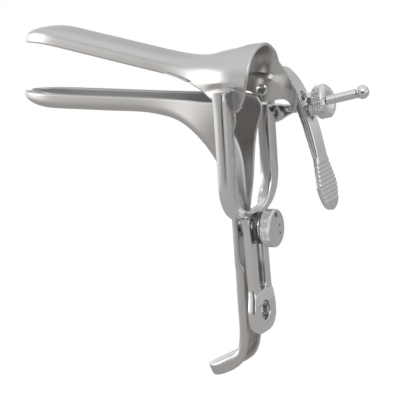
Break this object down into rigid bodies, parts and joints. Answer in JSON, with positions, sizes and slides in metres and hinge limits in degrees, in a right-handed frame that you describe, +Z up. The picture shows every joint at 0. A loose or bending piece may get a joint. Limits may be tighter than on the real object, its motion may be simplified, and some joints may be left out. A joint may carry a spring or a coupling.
{
  "type": "bivalve speculum",
  "caption": "Narrow bivalve speculum: two hinged trough blades, channel handle, sliding forked yoke with lock knob, thumb lever and a threaded angle rod with nut.",
  "frame": {"origin": "middle of the hinge axis of the two blades, between the arms of the yoke", "axes": "+X towards the operator, away from the blades, +Z up along the slotted stem, +Y towards the side with the thumb lever"},
  "size_m": [0.1471, 0.0595, 0.1505],
  "materials": {
    "blade_steel": "satin polish lengthwise",
    "frame_steel": "bright satin",
    "bright_steel": "polished",
    "dark_steel": "dark satin"
  },
  "bodies": {
    "handle": {"lower_blade": "blade_steel", "slide_stud": "bright_steel", "lock_washer": "dark_steel"},
    "slide_yoke": {"yoke": "frame_steel", "near_pivot_rivet": "bright_steel", "far_pivot_rivet": "bright_steel", "rod_swivel_pin": "bright_steel"},
    "upper_valve": {"upper_blade": "blade_steel", "thumb_lever": "frame_steel"},
    "rod": {"angle_rod": "bright_steel", "rod_ball_end": "bright_steel"},
    "nut": {"angle_nut": "bright_steel"},
    "knob": {"lock_knob": "bright_steel"}
  },
  "joints": [
    {"name": "yoke_slide", "type": "slide", "parent": "handle", "child": "slide_yoke", "axis": [0, 0, 1], "range_m": [0, 0.018]},
    {"name": "blade_hinge", "type": "hinge", "parent": "slide_yoke", "child": "upper_valve", "pos_m": [0, 0, 0], "axis": [0, 1, 0], "range_deg": [-11, 11]},
    {"name": "rod_swivel", "type": "hinge", "parent": "slide_yoke", "child": "rod", "pos_m": [-0.002, 0.0265, -0.0119], "axis": [0, 1, 0], "range_deg": [-12, 12]},
    {"name": "nut_travel", "type": "slide", "parent": "rod", "child": "nut", "axis": [0.9813, 0, 0.1925], "range_m": [-0.003, 0.003]},
    {"name": "knob_turn", "type": "hinge", "parent": "handle", "child": "knob", "pos_m": [0.005, 0, -0.0551], "axis": [1, 0, 0], "range_deg": [0, 720]}
  ],
  "couplings": [
    {"joint": "rod_swivel", "follows": "blade_hinge", "ratio": 1},
    {"joint": "nut_travel", "follows": "blade_hinge", "m_per_rad": -0.0107}
  ]
}
